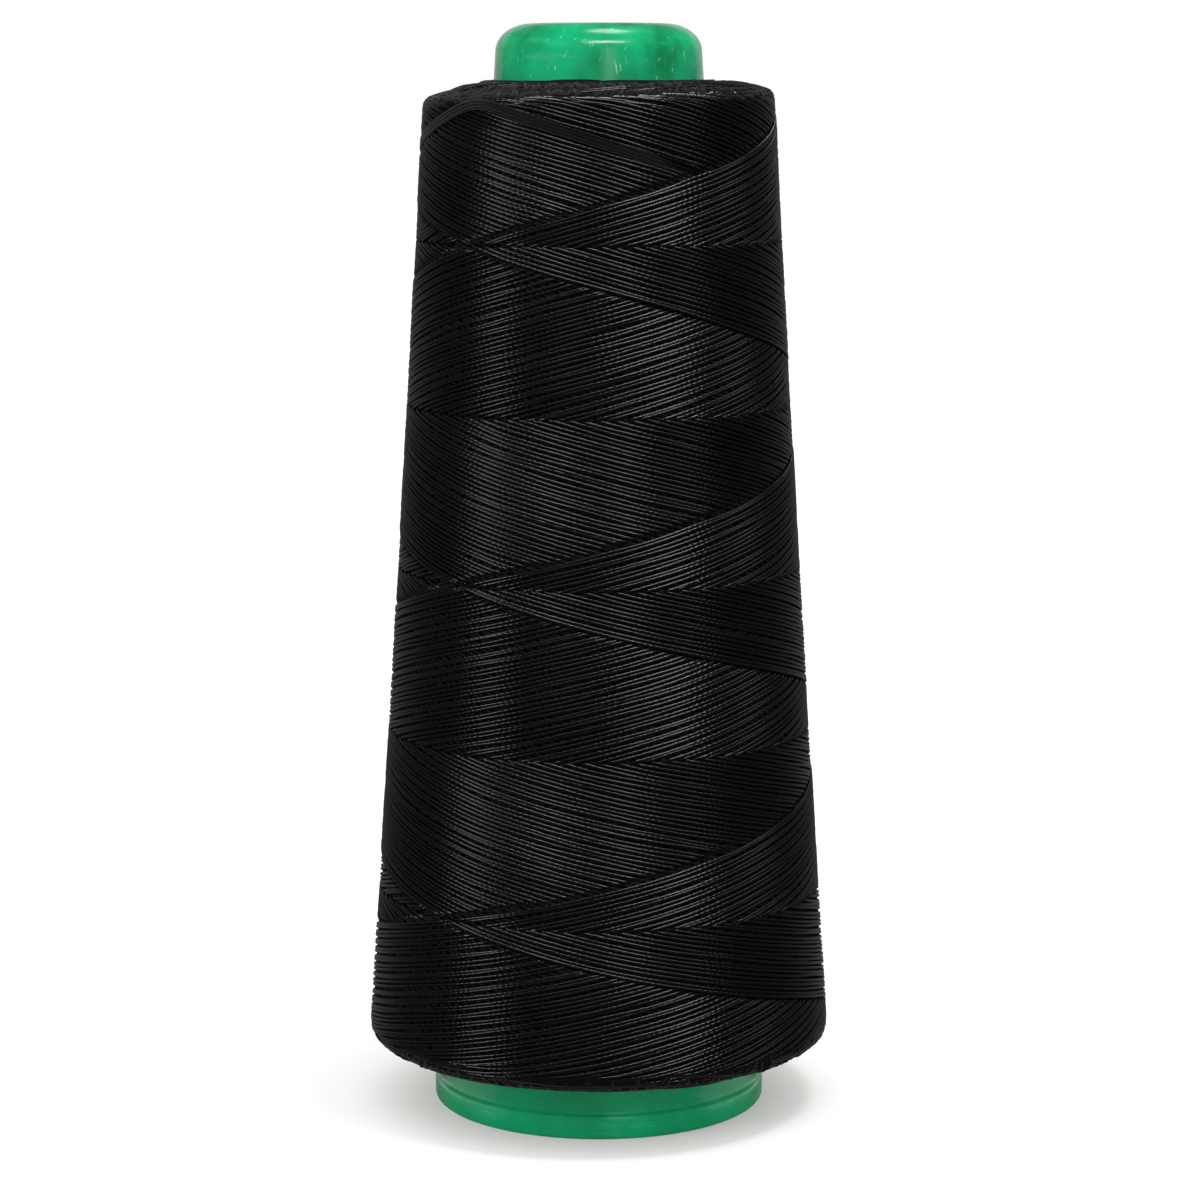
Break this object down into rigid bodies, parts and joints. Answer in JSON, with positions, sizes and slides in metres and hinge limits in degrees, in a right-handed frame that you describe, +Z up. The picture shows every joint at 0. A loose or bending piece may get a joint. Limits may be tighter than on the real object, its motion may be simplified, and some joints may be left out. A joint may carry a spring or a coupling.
{
  "type": "cone of thread",
  "caption": "Tapered package of black sewing thread, cross-wound on a hollow green plastic cone that stands on its open base rim.",
  "frame": {"origin": "centre of the cone's base rim, on the surface that it stands on", "axes": "+Z up along the cone's axis, -Y towards the side that the picture shows"},
  "size_m": [0.0731, 0.073, 0.17],
  "materials": {
    "green_plastic": "satin, with light scuffs",
    "black_thread": "soft sheen of spun polyester"
  },
  "bodies": {
    "root": {"core": "green_plastic", "winding": "black_thread"}
  },
  "joints": []
}
